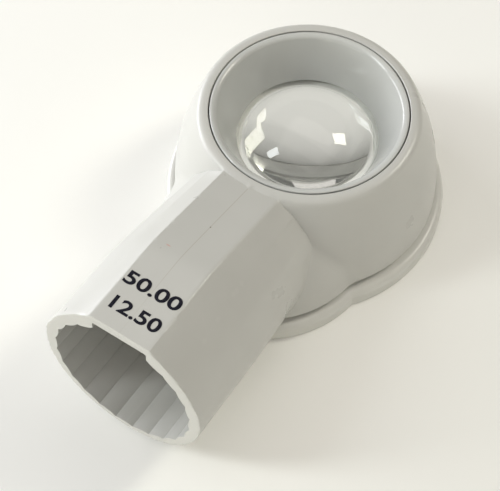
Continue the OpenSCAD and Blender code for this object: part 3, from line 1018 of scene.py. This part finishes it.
def build_head():
    housing = moulded_plastic("housing_plastic", PLASTIC_TINT, 0.30, extra=housing_marks)
    # painted light: the skirt's colour is the housing plastic's tint made 16% lighter, standing in for the
    # light on its flange
    skirt = moulded_plastic("skirt_plastic", shaded(PLASTIC_TINT, 0.16)[:3], 0.3)
    cup = moulded_plastic("funnel_plastic", CUP_TINT, 0.17, grain_depth=0.005)
    inner = moulded_plastic("inner_plastic", INNER_TINT, 0.55, specks=0.05)
    dark = moulded_plastic("collar_plastic", COLLAR_TINT, 0.55, grain_depth=0.03)
    glass = lens_acrylic()

    fit(housing_piece(), housing, "housing_plastic", "head_housing")
    fit(skirt_piece(), skirt, "skirt_plastic", "base_skirt")
    fit(cup_piece(), cup, "funnel_plastic", "eyepiece_funnel")
    upper = lens_piece("viewing_lens", UPPER_LO, UPPER_HI, edge_h=2.2, dome_r=CLEAR_R - 1.2)
    lower = lens_piece("field_lens", LOWER_LO, LOWER_HI, edge_h=1.8, dome_r=LENS_R - 1.7)
    spacer = ring_piece("spacing_ring", SPACER_LO, SPACER_HI, LENS_R - 1.6)
    fit(upper, glass, "lens_acrylic", "upper_lens")
    fit(lower, glass, "lens_acrylic", "lower_lens")
    fit(spacer, inner, "inner_plastic", "lens_spacer")
    fit(cell_piece(), inner, "inner_plastic", "lens_cell")
    retainer = ring_piece("barrel_retainer", RING_LO, RING_HI, LENS_R - 1.3)
    fit(retainer, inner, "inner_plastic", "cell_retaining_ring")
    fit(collar_piece(), dark, "collar_plastic", "lamp_collar")
    fit(reflector_piece(), bright_metal(), "reflector_metal", "lamp_reflector")
    fit(diffuser_piece(), frosted_acrylic(), "diffuser_acrylic", "light_diffuser")
    fit(bezel_piece(), inner, "inner_plastic", "diffuser_bezel")
    ink = marking_ink()
    fit(numerals("figures_upper_row", "50.00", -6.05, -55.4, 12.1), ink, "marking_ink")
    fit(numerals("figures_lower_row", "12.50", -4.9, -61.1, 10.4), ink, "marking_ink")


# ---------------------------------------------------------------------------------------------------------
# Floor, light and camera
# ---------------------------------------------------------------------------------------------------------

CAD_MIDDLE = (np.array(CAD_BOX[0]) + np.array(CAD_BOX[1])) / 2


def heading(azimuth, elevation):
    """Unit vector from the head towards something seen at that azimuth and elevation, in degrees."""
    a, e = math.radians(azimuth), math.radians(elevation)
    return Vector((math.sin(a) * math.cos(e), -math.cos(a) * math.cos(e), math.sin(e)))


def lay_floor():
    """A wide plain sheet under the base."""
    half, thick = 1.6, 0.004
    bm = bmesh.new()
    bmesh.ops.create_grid(bm, x_segments=16, y_segments=16, size=half)
    solid = bmesh.ops.extrude_face_region(bm, geom=bm.faces[:])
    lower = [v for v in solid["geom"] if isinstance(v, bmesh.types.BMVert)]
    bmesh.ops.translate(bm, verts=lower, vec=(0, 0, -thick))
    bmesh.ops.recalc_face_normals(bm, faces=bm.faces)
    mesh = bpy.data.meshes.new("page_sheet")
    bm.to_mesh(mesh)
    bm.free()
    floor = bpy.data.objects.new("page_sheet", mesh)
    bpy.context.scene.collection.objects.link(floor)
    mesh.materials.append(page_paper())


def softbox(name, azimuth, elevation, distance, width, height, power, colour=(1, 1, 1)):
    """A rectangular light that faces the middle of the head."""
    light = bpy.data.lights.new(name, "AREA")
    light.shape, light.size, light.size_y = "RECTANGLE", width, height
    light.energy, light.color = power, colour
    lamp = bpy.data.objects.new(name, light)
    towards = heading(azimuth, elevation)
    lamp.location = Vector(CAD_MIDDLE) + towards * distance
    lamp.rotation_mode = "QUATERNION"
    lamp.rotation_quaternion = towards.to_track_quat("Z", "Y")
    bpy.context.scene.collection.objects.link(lamp)


def shell_glow(power):
    """Light that seeps through the pale shell onto the page inside: a hidden disc under the barrel."""
    light = bpy.data.lights.new("shell_glow", "AREA")
    light.shape, light.size, light.energy = "DISK", 40 * MM, power
    lamp = bpy.data.objects.new("shell_glow", light)
    lamp.location = Vector((0, 0, (SLEEVE_Z - 0.5) * MM))
    for seen_by in ("camera", "glossy", "transmission"):
        setattr(lamp, "visible_" + seen_by, False)
    bpy.context.scene.collection.objects.link(lamp)


def light_studio():
    """A dim warm surround, soft boxes low and high round the head, and the glow inside it."""
    world = bpy.data.worlds.new("studio_white")
    world.use_nodes = True
    background = world.node_tree.nodes["Background"]
    background.inputs["Color"].default_value = (1.0, 0.99, 0.95, 1)
    background.inputs["Strength"].default_value = 0.12
    bpy.context.scene.world = world
    softbox("low_left", -85, 8, 0.7, 0.6, 0.25, 4.2, (0.95, 0.965, 1.0))
    softbox("low_front", 0, 8, 0.7, 0.5, 0.25, 1.5, (1.0, 0.97, 0.8))
    softbox("low_right", 95, 8, 0.7, 0.5, 0.25, 0.2, (1.0, 0.98, 0.84))
    softbox("tall_strip", -52, 37, 0.7, 0.12, 0.36, 1.8, (0.95, 1.0, 0.99))
    softbox("small_behind_right", 142, 45, 0.7, 0.17, 0.2, 1.5, (1.0, 0.98, 0.84))
    softbox("overhead", 0, 89, 0.9, 1.2, 1.2, 3.6, (1.0, 0.95, 0.91))
    shell_glow(0.0024)
    bpy.context.scene.view_settings.view_transform = "Standard"


VIEW_AZIMUTH = 33.0
VIEW_ELEVATION = 59.42
VIEW_DISTANCE = 0.2502
VIEW_SHIFT = Vector((0.00364, -0.0090, 0.0))  # from the middle of the head to the point looked at


def set_camera():
    camera = bpy.data.cameras.new("studio_camera")
    camera.lens, camera.sensor_width = 90.0, 36.0
    camera.clip_start, camera.clip_end = 0.01, 20.0
    view = bpy.data.objects.new("studio_camera", camera)
    towards = heading(VIEW_AZIMUTH, VIEW_ELEVATION)
    view.location = Vector(CAD_MIDDLE) + VIEW_SHIFT + towards * VIEW_DISTANCE
    view.rotation_mode = "QUATERNION"
    view.rotation_quaternion = (-towards).to_track_quat("-Z", "Y")
    bpy.context.scene.collection.objects.link(view)
    bpy.context.scene.camera = view


set_camera()
build_head()
lay_floor()
light_studio()
